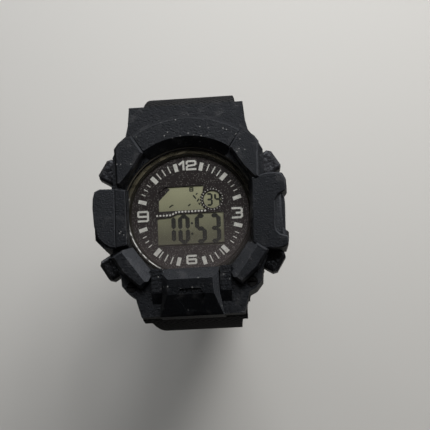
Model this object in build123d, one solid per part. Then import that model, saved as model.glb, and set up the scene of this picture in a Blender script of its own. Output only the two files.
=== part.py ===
"""Digital sports wristwatch with a moulded resin case and strap, unfastened.

Millimetres. X runs to 3 o'clock, Z to 12 o'clock, and the dial faces -Y. The origin is the
middle of the case back, on its wrist side. Heights are measured from there towards the dial.
"""

from build123d import *
from math import cos, degrees, radians, sin
import os

# Fits shared by all pieces
fit_gap = 0.15          # between moulded pieces that sit in each other
travel_gap = 0.3        # between pieces that move past each other
pin_gap = 0.05          # radial, between a pin and its bore
overrun = 1.0           # how far a cutter runs past what it cuts

# Heights in the head, from the wrist side towards the dial
back_thickness = 1.0
case_front = 10.4
skirt_height = 2.6
base_height = 10.9
crystal_seat = 9.5
crystal_thickness = 1.2
crystal_bevel = 0.5

# Middle case
case_half_width = 18.4
case_corner_reach = 22.0
cavity_radius = 16.4
seat_step = 1.0
ring_radius = 18.2
shoulder_half_width = 14.4

# Moulded bezel
guard_depth = 7.2
tail_overhang = 2.1
opening_radius = 17.7
arc_outer_radius = 26.0
arc_height = 13.5
arc_front_radius = 19.9
arc_chamfer = 1.3
arc_half_angle = 34.3
upper_block_height = 14.4
upper_slope_angle = 40.5
upper_slope_near = 16.8
upper_slope_far = 18.5
lower_block_height = 14.2
lower_slope_angle = -36.0
lower_slope_near = 17.2
lower_slope_low = 11.5
lower_slope_far = 20.2
guard_height = 13.2
guard_inner = 15.8
guard_slope = 1.3
groove_width = 0.4
groove_depth = 0.5
block_chamfer = 0.55
shoulder_height = 9.6
tail_block_height = 15.9
tail_block_half_width = 8.3
emblem_depth = 0.6
pad_height = 12.3
rib_count = 6
rib_rise = 0.15

# Lugs, spring bars and strap roots
bar_height = 4.5
bar_reach = 25.2
bar_radius = 0.9
bar_tip_radius = 0.45
horn_inner = 9.2
horn_width = 2.8
horn_radius = 1.6
knuckle_radius = 2.0
horn_hole_depth = 2.0
slot_front_angle = 85.0
slot_rear_angle = 88.0

# Pushers, which stand on rays from the middle of the dial
pusher_angle = 31.5
pusher_height = 5.6
pusher_travel = 1.0
pusher_cap_length = 5.3
pusher_seat_radius = 20.6
pusher_cap_width = 6.2
pusher_cap_height = 4.8
pusher_cap_chamfer = 0.9
pusher_stem_radius = 0.9
pusher_tip_reach = 1.0
spring_wire = 0.4
spring_turns = 3
spring_bore_depth = 2.0
seal_section = 0.5
seal_width = 0.8
clip_thickness = 0.3
clip_radius = 1.3
clip_groove_depth = 0.25

# Module
dial_radius = 16.0
dial_thickness = 0.4
dial_ring_width = 0.5
lcd_width = 20.6
lcd_height = 18.4
lcd_thickness = 1.2
lcd_drop = 0.3
light_thickness = 0.6
light_height = 13.4
holder_radius = 15.7
board_radius = 14.9
board_thickness = 0.8
board_height = 4.1
chip_radius = 2.8
chip_rise = 0.9
chip_round = 0.8
quartz_radius = 0.95
quartz_length = 6.0
quartz_offset = 12.3
battery_radius = 10.0
battery_thickness = 1.6
battery_offset = 3.0
strip_thickness = 1.6
strip_length = 18.0
buzzer_radius = 8.5
buzzer_offset = 3.0
buzzer_thickness = 0.25
contact_spring_radius = 0.9
contact_spring_offset = 10.4
contact_spring_turns = 4
blade_thickness = 0.25
blade_width = 2.6
blade_rise = 1.9
clip_plate_width = 7.0
clip_plate_length = 27.0
clip_plate_thickness = 0.25
clip_screw_offset = 12.2
clip_screw_radius = 0.5
clip_screw_head = 0.95
clip_screw_length = 1.6
clip_screw_rise = 0.35

# Case back
back_half_width = 18.1
back_corner_cut = 5.8
back_groove_radius = 12.0
back_groove_width = 0.6
back_groove_depth = 0.2
back_screw_radius = 19.6
back_screw_thread = 0.7
back_screw_head = 1.4
back_screw_length = 4.4
back_screw_sink = 0.55
gasket_radius = 17.3
gasket_section = 0.8

# Bezel screws
bezel_screw_x = 15.5
bezel_screw_z = -19.0
bezel_screw_shank = 0.6
ear_half_width = 1.5
ear_height = 7.6
bezel_screw_head = 1.25
bezel_screw_length = 4.0

# Strap
strap_thickness = 2.8
root_length = 4.2
root_thickness = 3.8
upper_root_half_width = 15.0
lower_root_half_width = 13.6
upper_half_width = 12.7
lower_half_width = 12.1
end_half_width = 10.2
upper_taper_end = 19.0
lower_taper_end = 35.0
root_chamfer = 0.9
strap_hole_radius = 1.15
strap_hole_stretch = 1.1
strap_hole_pitch = 6.0
strap_hole_count = 9
first_hole = 12.0

# Buckle and keeper
buckle_pin_radius = 0.75
buckle_knuckle_radius = 1.75
buckle_reach = 14.0
buckle_arm_width = 2.4
buckle_corner = 1.7
buckle_thickness = 2.2
tongue_width = 2.2
tongue_thickness = 1.5
tongue_overhang = 1.6
tongue_slot_depth = 3.5
keeper_width = 6.0
keeper_wall = 1.5
keeper_place = 38.0
keeper_room = 3.3

# Shape of the outlines, as shares of the bezel's half width and half height
base_shares = [
    (0.000, 1.073), (0.594, 1.073), (0.610, 0.888), (0.637, 0.780), (0.738, 0.649), (0.777, 0.578),
    (0.777, 0.300), (0.961, 0.322), (0.996, 0.271), (1.000, 0.198), (0.940, 0.125),
    (0.940, -0.209), (0.996, -0.246), (0.988, -0.315), (0.961, -0.381), (0.875, -0.391),
    (0.790, -0.418), (0.715, -0.586), (0.707, -0.682), (0.641, -0.759), (0.574, -0.791),
    (0.560, -0.840), (0.515, -0.985), (0.000, -0.985),
]
upper_block_shares = [
    (0.440, 0.581), (0.560, 0.762), (0.621, 0.748), (0.703, 0.685), (0.742, 0.630),
    (0.734, 0.535), (0.727, 0.281), (0.660, 0.253),
]
guard_shares = [
    (0.560, 0.242), (0.688, 0.301), (0.816, 0.333), (0.961, 0.322), (0.996, 0.271),
    (1.000, 0.198), (0.940, 0.125), (0.940, -0.209), (0.996, -0.246), (0.988, -0.315),
    (0.961, -0.381), (0.875, -0.391), (0.762, -0.374), (0.680, -0.344), (0.560, -0.326),
]
lower_block_shares = [
    (0.560, -0.310), (0.684, -0.355), (0.790, -0.418), (0.676, -0.583), (0.504, -0.729),
    (0.426, -0.659), (0.380, -0.553), (0.300, -0.485),
]
left_guard_shares = [
    (0.560, 0.236), (0.704, 0.250), (0.873, 0.240), (0.968, 0.180), (0.984, 0.060), (0.968, -0.095),
    (0.958, -0.237), (0.875, -0.322), (0.779, -0.336), (0.663, -0.306), (0.560, -0.300),
]
guard_trim_shares = (0.792, 0.340, -0.402)
guard_flat_shares = (0.20, 0.70)
guard_round_shares = (0.09, 0.20, 0.50)
tail_block_shares = [(0.860, -0.516), (0.880, -0.795), (1.000, -1.011)]
tail_section_shares = [(-0.547, 0.792), (-0.666, 1.000), (-0.806, 0.981), (-1.011, 0.818)]
tail_bevel_shares = (0.68, 0.81)
emblem_shares = [(0.313, -0.754), (0.434, -0.827), (0.151, -0.960)]
pad_shares = ((0.290, 0.400), (-0.537, -0.770))
pad_foot_share = -0.868

# Dial windows, as shares of the dial's radius
upper_window_shares = [(-0.51, 0.06), (-0.51, 0.38), (-0.40, 0.47), (0.24, 0.47), (0.20, 0.20), (0.28, 0.06)]
lower_window_shares = [
    (-0.54, -0.52), (-0.54, -0.05), (-0.31, -0.04),
    (-0.21, 0.01), (0.55, 0.01), (0.55, -0.54),
]
round_window_shares = (0.375, 0.225, 0.150)

# Strap routes: straight runs and bend radii, and each bend's turn in degrees
upper_start = 35.0
upper_root_run = 4.0
upper_near_bend = 20.0
upper_far_bend = 26.0
upper_end_run = 6.0
lower_start = 84.0
lower_root_run = 5.0
lower_near_bend = 110.0
lower_near_turn = 24.0
lower_far_bend = 40.0
lower_far_turn = 62.0
lower_end_run = 10.0

# Values that follow from those above
bezel_half_width = case_half_width + guard_depth
bezel_half_height = bar_reach + tail_overhang
crystal_top = crystal_seat + crystal_thickness
crystal_radius = ring_radius - seat_step + fit_gap
dial_front = crystal_seat - dial_ring_width - fit_gap
dial_back = dial_front - dial_thickness
lcd_back = dial_back - lcd_thickness
light_back = lcd_back - light_thickness
board_front = board_height + board_thickness
battery_back = board_height - battery_thickness
bar_gap_radius = knuckle_radius + travel_gap
shoulder_reach = bar_reach - bar_gap_radius
pusher_cap_root = pusher_seat_radius + pusher_travel + travel_gap
pusher_tip_radius = cavity_radius - pusher_tip_reach
spring_bore_radius = pusher_stem_radius + spring_wire + 3 * pin_gap
seal_radius = pusher_stem_radius + pin_gap + seal_section
seal_distance = (cavity_radius + pusher_seat_radius - spring_bore_depth) / 2 - seal_width / 2
clip_distance = cavity_radius - clip_thickness - travel_gap
blade_distance = pusher_tip_radius - pusher_travel - blade_thickness - fit_gap
bezel_screw_seat = base_height - bezel_screw_head
bezel_screw_end = base_height - bezel_screw_head - bezel_screw_length
clip_plate_back = battery_back - clip_plate_thickness


def level(height):
    return Plane.XZ.offset(height)


def slab(sketch, bottom, top):
    return extrude(level(bottom) * sketch, amount=top - bottom, dir=(0, -1, 0))


def outline(shares, width=bezel_half_width, height=bezel_half_height):
    return [(x * width, z * height) for x, z in shares]


def mirrored(shape):
    return mirror(shape, about=Plane.YZ)


def both_sides(shape):
    return shape + mirrored(shape)


def full_outline(half):
    """A whole outline from its right half, whose first and last points may lie on the middle."""
    left = [(-x, z) for x, z in reversed(half) if x > 0]
    return half + left


def ray_plane(angle, distance, height):
    """Looks outwards along a ray, with its second direction towards the dial."""
    a = radians(angle)
    return Plane(
        origin=(distance * cos(a), -height, distance * sin(a)),
        x_dir=(-sin(a), 0, cos(a)),
        z_dir=(cos(a), 0, sin(a)),
    )


def inner_slope(angle, near, low, far, high):
    """A cutter for the sloping wall that faces the dial."""
    a = radians(angle)
    plane = Plane(origin=(0, 0, 0), x_dir=(cos(a), 0, sin(a)), z_dir=(sin(a), 0, -cos(a)))
    steep = (far - near) / (high - low)
    profile = Polygon(
        (0, low - overrun),
        (near, low - overrun),
        (near, low),
        (far + steep * overrun, high + overrun),
        (0, high + overrun),
        align=None,
    )
    return extrude(plane * profile, amount=bezel_half_height, both=True)


def front_edges(solid, height):
    straight = solid.edges().filter_by(GeomType.LINE)
    return [e for e in straight if abs(e.center().Y + height) < fit_gap]


def ring(outer, inner, bottom, top):
    return slab(Circle(outer) - Circle(inner), bottom, top)


def bar_cylinder(radius, side, half_width, start=0):
    """A round bar along X about the axis of a spring bar."""
    plane = Plane(origin=(start, -bar_height, side * bar_reach), z_dir=(1, 0, 0))
    if start:
        return extrude(plane * Circle(radius), amount=half_width)
    return extrude(plane * Circle(radius), amount=half_width, both=True)


# Strap routes


def trace(start, heading, route):
    """Each step of a route as its start, its heading there in degrees, and its length or radius and turn."""
    y, z = start
    steps = []
    for size, turn in route:
        steps.append((y, z, heading, size, turn))
        a = radians(heading)
        if turn:
            b = radians(heading + turn)
            y += size * (cos(a) - cos(b))
            z += size * (sin(b) - sin(a))
            heading += turn
        else:
            y += size * sin(a)
            z += size * cos(a)
    steps.append((y, z, heading, 0, 0))
    return steps


def spot(steps, distance):
    """Where a distance along a route lies, and the heading there."""
    for y, z, heading, size, turn in steps[:-1]:
        length = size * radians(turn) if turn else size
        if distance <= length:
            break
        distance -= length
    a = radians(heading)
    if not turn:
        return y + distance * sin(a), z + distance * cos(a), heading
    b = a + distance / size
    return y + size * (cos(a) - cos(b)), z + size * (sin(b) - sin(a)), degrees(b)


def route_length(route):
    return sum(size * radians(turn) if turn else size for size, turn in route)


def beside(y, z, heading, out):
    a = radians(heading)
    return (y - out * cos(a), z + out * sin(a))


def side_edges(steps, out):
    edges = []
    for step, following in zip(steps, steps[1:]):
        y, z, heading, size, turn = step
        first = beside(y, z, heading, out)
        last = beside(*following[:3], out)
        if turn:
            half = radians(heading + turn / 2)
            a = radians(heading)
            middle_y = y + size * (cos(a) - cos(half))
            middle_z = z + size * (sin(half) - sin(a))
            middle = beside(middle_y, middle_z, heading + turn / 2, out)
            edges.append(ThreePointArc(first, middle, last))
        else:
            edges.append(Line(first, last))
    return edges


def band(steps, inside, outside, half_width):
    """A strip that follows a route, between two distances from it."""
    far = side_edges(steps, outside)
    near = side_edges(steps, inside)
    ends = [Line(near[0] @ 0, far[0] @ 0), Line(near[-1] @ 1, far[-1] @ 1)]
    profile = make_face(far + near + ends)
    return extrude(Plane.YZ * profile, amount=half_width, both=True)


def to_side(shape, side):
    return shape if side > 0 else mirror(shape, about=Plane.XY)


upper_route = [
    (upper_root_run, 0), (upper_near_bend, 90 - upper_start),
    (upper_far_bend, 90), (upper_end_run, 0),
]
lower_route = [
    (lower_root_run, 0), (lower_near_bend, lower_near_turn),
    (lower_far_bend, lower_far_turn), (lower_end_run, 0),
]
upper_steps = trace((-bar_height, bar_reach), upper_start, upper_route)
lower_steps = trace((-bar_height, bar_reach), lower_start, lower_route)


# Head


def case_outline():
    cut = case_corner_reach * 2 ** 0.5 - case_half_width
    half = [
        (0, shoulder_reach),
        (shoulder_half_width, shoulder_reach),
        (shoulder_half_width, case_corner_reach * 2 ** 0.5 - shoulder_half_width),
        (case_half_width, cut),
        (case_half_width, -cut),
        (shoulder_half_width, -case_corner_reach * 2 ** 0.5 + shoulder_half_width),
        (shoulder_half_width, -shoulder_reach),
        (0, -shoulder_reach),
    ]
    return Polygon(*full_outline(half), align=None)


def horns(side):
    """The two lugs that hold one spring bar."""
    body = bar_cylinder(horn_radius, side, horn_width, horn_inner)
    web_top = bar_height + horn_radius
    web_bottom = bar_height - horn_radius
    web_plane = Plane(origin=(horn_inner, 0, 0), z_dir=(1, 0, 0), x_dir=(0, 1, 0))
    depth = bar_reach - shoulder_reach + bar_gap_radius
    middle = side * (bar_reach - depth / 2)
    web = Pos(-(web_top + web_bottom) / 2, middle) * Rectangle(web_top - web_bottom, depth)
    body += extrude(web_plane * web, amount=horn_width)
    hole = bar_cylinder(bar_tip_radius + pin_gap, side, horn_hole_depth, horn_inner)
    return both_sides(body - hole)


def pusher_angles():
    """Each pusher's name and the direction of its ray, in degrees from 3 o'clock."""
    a = pusher_angle
    return {"upper_right": a, "upper_left": 180 - a, "lower_left": 180 + a, "lower_right": -a}


def pusher_cuts():
    """Everything that a pusher passes through in the middle case."""
    cuts = []
    for angle in pusher_angles().values():
        seat = ray_plane(angle, pusher_seat_radius, pusher_height)
        opening = Rectangle(pusher_cap_width + 2 * travel_gap, case_front * 2)
        cuts.append(extrude(seat * opening, amount=case_corner_reach))
        bore = ray_plane(angle, pusher_seat_radius - spring_bore_depth, pusher_height)
        cuts.append(extrude(bore * Circle(spring_bore_radius), amount=spring_bore_depth + overrun))
        hole = ray_plane(angle, cavity_radius - overrun, pusher_height)
        stem_room = Circle(pusher_stem_radius + pin_gap)
        cuts.append(extrude(hole * stem_room, amount=pusher_seat_radius - cavity_radius))
        seal = ray_plane(angle, seal_distance, pusher_height)
        cuts.append(extrude(seal * Circle(seal_radius), amount=seal_width))
    return cuts


def ear_outline(grow=0):
    """The ear that takes a bezel screw at the lower right."""
    x, z, r = bezel_screw_x, bezel_screw_z, ear_half_width
    points = [
        (shoulder_half_width - r, z + 2 * r),
        (x + r, z + 2 * r),
        (x + r, z + r / 4),
        (x - r / 4, z - r),
        (shoulder_half_width - r, z - r),
    ]
    shape = Polygon(*points, align=None)
    return offset(shape, grow) if grow else shape


def middle_case():
    body = slab(case_outline(), back_thickness, shoulder_height - fit_gap)
    body += both_sides(slab(ear_outline(), skirt_height, ear_height))
    body += slab(Circle(ring_radius), back_thickness, case_front)
    body -= slab(Circle(cavity_radius), back_thickness - overrun, crystal_seat - seat_step)
    body -= slab(Circle(ring_radius - 2 * seat_step), back_thickness, case_front + overrun)
    body -= slab(Circle(crystal_radius + fit_gap), crystal_seat, case_front + overrun)
    for side in (1, -1):
        body -= bar_cylinder(bar_gap_radius, side, shoulder_half_width + overrun)
        body += horns(side)
    for cut in pusher_cuts():
        body -= cut
    body -= ring(gasket_radius + gasket_section / 2, gasket_radius - gasket_section / 2,
                 back_thickness - overrun, back_thickness + gasket_section)
    for x, z in back_screw_places():
        body -= slab(Pos(x, z) * Circle(back_screw_thread + pin_gap),
                     back_thickness - overrun, back_screw_length + back_screw_thread)
    for x, z in bezel_screw_places():
        body -= slab(Pos(x, z) * Circle(bezel_screw_shank + pin_gap), bezel_screw_end, ear_height + overrun)
    return body


def arc_piece():
    """The raised arc over 12 o'clock, turned about the middle of the dial."""
    profile = Polygon(
        (opening_radius, skirt_height),
        (opening_radius, base_height),
        (arc_front_radius, arc_height),
        (arc_outer_radius - arc_chamfer, arc_height),
        (arc_outer_radius, arc_height - arc_chamfer),
        (arc_outer_radius, skirt_height),
        align=None,
    )
    turn_plane = Plane(origin=(0, 0, 0), x_dir=(1, 0, 0), z_dir=(0, 0, 1))
    body = revolve(turn_plane * mirror(profile, about=Plane.XZ), axis=Axis.Y)
    reach = arc_outer_radius * 2
    a = radians(arc_half_angle)
    wedge = Polygon((0, 0), (-reach * sin(a), reach * cos(a)), (reach * sin(a), reach * cos(a)), align=None)
    return body & slab(wedge, 0, arc_height + overrun)


def upper_block():
    body = slab(Polygon(*outline(upper_block_shares), align=None), skirt_height, upper_block_height)
    body = chamfer(front_edges(body, upper_block_height), block_chamfer)
    near, far = upper_slope_near, upper_slope_far
    return body - inner_slope(upper_slope_angle, near, base_height, far, upper_block_height)


def guard(shares):
    """The bar at 3 o'clock, or the shorter one at 9, drawn on the right: its outline, cut to its section."""
    body = slab(Polygon(*outline(shares), align=None), skirt_height, guard_height)
    flat_end, slope_end = (case_half_width + guard_depth * share for share in guard_flat_shares)
    round_out, round_down, side_down = (guard_depth * share for share in guard_round_shares)
    inner = guard_inner
    top = guard_height
    section = [
        Line((inner, 0), (inner, base_height)),
        Line((inner, base_height), (inner + guard_slope, top)),
        Line((inner + guard_slope, top), (flat_end - groove_width, top)),
        Line((flat_end - groove_width, top), (flat_end, top - groove_depth)),
        Line((flat_end, top - groove_depth), (flat_end + groove_width, top)),
        Line((flat_end + groove_width, top), (slope_end, top - groove_depth)),
        ThreePointArc(
            (slope_end, top - groove_depth),
            (bezel_half_width - round_out, top - round_down),
            (bezel_half_width, top - side_down),
        ),
        Line((bezel_half_width, top - side_down), (bezel_half_width, 0)),
        Line((bezel_half_width, 0), (inner, 0)),
    ]
    profile = mirror(make_face(section), about=Plane.XZ)
    return body & extrude(profile, amount=bezel_half_height, both=True)


def guard_trim():
    """What is left out of the bezel round the shorter guard, drawn on the right."""
    inner, top, bottom = guard_trim_shares
    left, right = inner * bezel_half_width, bezel_half_width + overrun
    high, low = top * bezel_half_height, bottom * bezel_half_height
    room = Pos((left + right) / 2, (high + low) / 2) * Rectangle(right - left, high - low)
    room -= Polygon(*outline(left_guard_shares), align=None)
    return slab(room, 0, guard_height + overrun)


def lower_block():
    body = slab(Polygon(*outline(lower_block_shares), align=None), skirt_height, lower_block_height)
    body = chamfer(front_edges(body, lower_block_height), block_chamfer)
    near, far = lower_slope_near, lower_slope_far
    return body - inner_slope(lower_slope_angle, near, lower_slope_low, far, lower_block_height)


def tail_block_section(drop):
    """The block from the side, lowered by a drop."""
    z = bezel_half_height
    foot = bar_height + bar_gap_radius + travel_gap
    top = [(share * z, height * tail_block_height - drop) for share, height in tail_section_shares]
    points = top + [(top[-1][0], foot), (-shoulder_reach, foot), (-shoulder_reach, 0), (top[0][0], 0)]
    side_plane = Plane(origin=(0, 0, 0), x_dir=(0, 0, 1), z_dir=(1, 0, 0))
    return extrude(side_plane * Polygon(*points, align=None), amount=tail_block_half_width, both=True)


def tail_block():
    """The block under 6 o'clock that reaches down over the strap."""
    w = tail_block_half_width
    block = Polygon(*full_outline(outline(tail_block_shares, w)), align=None)
    body = slab(block, skirt_height, tail_block_height) & tail_block_section(0)
    across, up = tail_bevel_shares
    half = [(w * across, tail_block_height), (w, tail_block_height * up), (w, 0)]
    bevelled = mirror(Polygon(*full_outline(half), align=None), about=Plane.XZ)
    body &= extrude(bevelled, amount=bezel_half_height, both=True)
    emblem_outline = Polygon(*full_outline(outline(emblem_shares, w)), align=None)
    emblem = slab(emblem_outline, skirt_height, tail_block_height + overrun)
    return body - (emblem - tail_block_section(emblem_depth))


def rib_pad():
    """The ribbed pad beside the block under 6 o'clock."""
    (x_near, x_far), (z_top, z_bottom) = pad_shares
    left, right = x_near * bezel_half_width, x_far * bezel_half_width
    top, bottom = z_top * bezel_half_height, z_bottom * bezel_half_height
    body = slab(Pos((left + right) / 2, (top + bottom) / 2) * Rectangle(right - left, top - bottom),
                skirt_height, pad_height)
    pitch = (top - bottom) / rib_count
    for index in range(rib_count):
        rib = Pos((left + right) / 2, top - (index + 0.5) * pitch) * Rectangle(right - left, pitch / 2)
        body += slab(rib, pad_height, pad_height + rib_rise)
    foot_end = pad_foot_share * bezel_half_height
    foot = Polygon((bottom, 0), (bottom, pad_height), (foot_end, base_height), (foot_end, 0), align=None)
    foot_plane = Plane(origin=(left, 0, 0), x_dir=(0, 0, 1), z_dir=(1, 0, 0))
    return body + extrude(foot_plane * foot, amount=right - left)


def pusher_pocket(angle):
    """The opening in the bezel round a pusher's cap, down through the skirt."""
    plane = ray_plane(angle, pusher_seat_radius, pusher_height)
    top = pusher_cap_height / 2 + travel_gap
    width = pusher_cap_width + 2 * travel_gap
    opening = Pos(0, (top - pusher_height) / 2) * Rectangle(width, top + pusher_height)
    return extrude(plane * opening, amount=bezel_half_width)


def bezel():
    body = slab(Polygon(*full_outline(outline(base_shares)), align=None), skirt_height, base_height)
    body -= slab(Circle(opening_radius), skirt_height - overrun, base_height + overrun)
    body += arc_piece()
    body += guard(guard_shares)
    body += mirror(guard(left_guard_shares), about=Plane.YZ)
    body -= mirror(guard_trim(), about=Plane.YZ)
    for make in (upper_block, lower_block, rib_pad):
        body += both_sides(make())
    body += tail_block()
    body -= slab(offset(case_outline(), fit_gap), 0, shoulder_height)
    body -= both_sides(slab(ear_outline(fit_gap), 0, ear_height + fit_gap))
    body -= slab(Circle(ring_radius + fit_gap), 0, crystal_top + fit_gap)
    room = bar_gap_radius + knuckle_radius
    lug_room = Rectangle(horn_width + 2 * fit_gap, 2 * bar_gap_radius)
    for side in (1, -1):
        lug = Pos(horn_inner + horn_width / 2, side * shoulder_reach) * lug_room
        body -= both_sides(slab(lug, 0, bar_height + horn_radius + fit_gap))
        body -= bar_cylinder(bar_gap_radius, side, bezel_half_width)
        end = Rectangle(2 * bezel_half_width, room)
        body -= slab(Pos(0, side * (bar_reach + room / 2)) * end, 0, bar_height + bar_gap_radius)
        body -= slab(Pos(0, side * (shoulder_reach + room / 2)) * end, 0, bar_height)
    for angle in pusher_angles().values():
        body -= pusher_pocket(angle)
    for x, z in bezel_screw_places():
        body -= slab(Pos(x, z) * Circle(bezel_screw_head + fit_gap), bezel_screw_seat, base_height + overrun)
        body -= slab(Pos(x, z) * Circle(bezel_screw_shank + fit_gap), 0, base_height + overrun)
    return body


def crystal():
    body = slab(Circle(crystal_radius), crystal_seat, crystal_top)
    front = body.edges().filter_by(GeomType.CIRCLE).sort_by(Axis.Y)[0]
    return chamfer(front, crystal_bevel)


def back_screw_places():
    reach = back_screw_radius / 2 ** 0.5
    return [(reach, reach), (-reach, reach), (-reach, -reach), (reach, -reach)]


def bezel_screw_places():
    return [(bezel_screw_x, bezel_screw_z), (-bezel_screw_x, bezel_screw_z)]


def slotted_screw(x, z, head, shank, seat, head_top, end):
    """A screw along Y, with its head at head_top and its driver slot cut across the head."""
    body = slab(Pos(x, z) * Circle(head), min(seat, head_top), max(seat, head_top))
    body += slab(Pos(x, z) * Circle(shank), min(seat, end), max(seat, end))
    toward = 1 if head_top > seat else -1
    depth = abs(head_top - seat) / 2
    slot = Pos(x, z) * Rectangle(2 * head + overrun, head / 3)
    cut_end = head_top + toward * overrun
    cut_start = head_top - toward * depth
    return body - slab(slot, min(cut_start, cut_end), max(cut_start, cut_end))


def case_back():
    """The steel plate, with its corners cut and a turned groove on the wrist side."""
    side = 2 * back_half_width
    body = slab(Rectangle(side, side), 0, back_thickness)
    body = chamfer(body.edges().filter_by(Axis.Y), back_corner_cut)
    body -= ring(back_groove_radius + back_groove_width, back_groove_radius, -overrun, back_groove_depth)
    for x, z in back_screw_places():
        body -= slab(Pos(x, z) * Circle(back_screw_head + fit_gap), -overrun, back_screw_sink)
        body -= slab(Pos(x, z) * Circle(back_screw_thread + fit_gap), -overrun, back_thickness + overrun)
    return body


def back_screws():
    return [
        slotted_screw(x, z, back_screw_head, back_screw_thread, back_screw_sink, 0, back_screw_length)
        for x, z in back_screw_places()
    ]


def bezel_screws():
    top = base_height - bezel_screw_head / 4
    end = bezel_screw_end + pin_gap
    return [
        slotted_screw(x, z, bezel_screw_head, bezel_screw_shank, bezel_screw_seat, top, end)
        for x, z in bezel_screw_places()
    ]


# Pushers


def pusher(angle):
    plane = ray_plane(angle, pusher_cap_root, pusher_height)
    cap = extrude(plane * Rectangle(pusher_cap_width, pusher_cap_height), amount=pusher_cap_length)
    ray = Axis(plane.origin, plane.z_dir)
    cap = fillet(cap.edges().filter_by(ray), pusher_cap_chamfer)
    face = cap.faces().sort_by(ray)[-1]
    cap = chamfer(face.edges(), pusher_cap_chamfer)
    tip = ray_plane(angle, pusher_tip_radius, pusher_height)
    body = cap + extrude(tip * Circle(pusher_stem_radius), amount=pusher_cap_root - pusher_tip_radius)
    groove = ray_plane(angle, clip_distance, pusher_height)
    neck = Circle(pusher_stem_radius + overrun) - Circle(pusher_stem_radius - clip_groove_depth)
    return body - extrude(groove * neck, amount=clip_thickness)


def retaining_clip(angle):
    """The open ring that keeps a pusher in the case."""
    plane = ray_plane(angle, clip_distance, pusher_height)
    inner = pusher_stem_radius - clip_groove_depth
    shape = Circle(clip_radius) - Circle(inner) - Pos(0, clip_radius) * Rectangle(inner, 2 * clip_radius)
    return extrude(plane * shape, amount=clip_thickness)


def seal(angle):
    plane = ray_plane(angle, seal_distance, pusher_height)
    shape = Circle(seal_radius) - Circle(pusher_stem_radius + pin_gap)
    return extrude(plane * shape, amount=seal_width)


def coil(plane, radius, wire, turns, length):
    """A flat-wire spring that stands on a plane."""
    pitch = (length - wire) / turns
    path = Helix(pitch=pitch, height=pitch * turns, radius=radius)
    start = path @ 0
    section = Plane(origin=start, x_dir=(1, 0, 0), z_dir=path % 0) * Rectangle(wire, wire)
    spring = sweep(section, path=path, is_frenet=True)
    return plane * Pos(0, 0, wire / 2) * spring


def return_spring(angle):
    plane = ray_plane(angle, pusher_seat_radius - spring_bore_depth, pusher_height)
    radius = pusher_stem_radius + pin_gap + fit_gap / 2 + spring_wire / 2
    return coil(plane, radius, spring_wire, spring_turns, spring_bore_depth + travel_gap / 2)


# Module


def dial_plate():
    body = slab(Circle(dial_radius), dial_back, dial_front)
    for shares in (upper_window_shares, lower_window_shares):
        window = Polygon(*outline(shares, dial_radius, dial_radius), align=None)
        body -= slab(window, dial_back - overrun, dial_front + overrun)
    x, z, radius = (share * dial_radius for share in round_window_shares)
    return body - slab(Pos(x, z) * Circle(radius), dial_back - overrun, dial_front + overrun)


def dial_ring():
    body = ring(dial_radius, dial_radius - dial_ring_width, dial_front, crystal_seat)
    inner = body.edges().filter_by(GeomType.CIRCLE).sort_by(Axis.Y)[:2].sort_by(SortBy.LENGTH)[0]
    return chamfer(inner, dial_ring_width / 2)


def lcd_glass():
    """Two glass plates, the rear one taller so that its edges carry the contacts."""
    rear = slab(Pos(0, -lcd_drop) * Rectangle(lcd_width, lcd_height), lcd_back, lcd_back + lcd_thickness / 2)
    front_height = lcd_height - 2 * strip_thickness
    return rear + slab(Pos(0, -lcd_drop) * Rectangle(lcd_width, front_height), lcd_back, dial_back)


def strip_places():
    reach = lcd_height / 2 - strip_thickness / 2 - fit_gap
    return [(0, reach - lcd_drop), (0, -reach - lcd_drop)]


def zebra_strips():
    return [
        slab(Pos(x, z) * Rectangle(strip_length, strip_thickness), board_front, lcd_back)
        for x, z in strip_places()
    ]


def light_plate():
    return slab(Pos(0, -lcd_drop) * Rectangle(lcd_width, light_height), light_back, lcd_back)


def module_holder():
    body = slab(Circle(holder_radius), board_front, dial_back)
    room = 2 * fit_gap
    glass_room = Rectangle(lcd_width + room, lcd_height + room)
    body -= slab(Pos(0, -lcd_drop) * glass_room, lcd_back, dial_back + overrun)
    light_room = Rectangle(lcd_width + room, light_height + room)
    body -= slab(Pos(0, -lcd_drop) * light_room, light_back, dial_back)
    for x, z in strip_places():
        slot = Pos(x, z) * Rectangle(strip_length + room, strip_thickness + room)
        body -= slab(slot, board_front - overrun, dial_back)
    body -= slab(Circle(chip_radius + fit_gap), board_front - overrun, board_front + chip_rise + fit_gap)
    quartz = Pos(quartz_offset, 0) * Rectangle(2 * quartz_radius + room, quartz_length + room)
    body -= slab(quartz, board_front - overrun, board_front + 2 * quartz_radius + fit_gap)
    inner = pusher_tip_radius - pusher_travel - overrun
    for angle in pusher_angles().values():
        notch = ray_plane(angle, inner, board_front)
        depth = pusher_height + clip_radius + fit_gap - board_front
        opening = Rectangle(2 * clip_radius + room + overrun, 2 * depth)
        body -= extrude(notch * opening, amount=holder_radius)
    return body


def circuit_board():
    body = slab(Circle(board_radius), board_height, board_front)
    for angle in pusher_angles().values():
        notch = ray_plane(angle, blade_distance + blade_thickness, board_height)
        opening = Rectangle(2 * clip_radius + 2 * travel_gap, 4 * board_thickness)
        body -= extrude(notch * opening, amount=board_radius)
    return body


def chip_cover():
    """The drop of black resin over the bare chip."""
    body = slab(Circle(chip_radius), board_front, board_front + chip_rise)
    top = body.edges().filter_by(GeomType.CIRCLE).sort_by(Axis.Y)[0]
    return fillet(top, chip_round)


def quartz_can():
    plane = Plane(origin=(quartz_offset, -board_front - quartz_radius, 0), z_dir=(0, 0, 1))
    return extrude(plane * Circle(quartz_radius), amount=quartz_length / 2, both=True)


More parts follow.
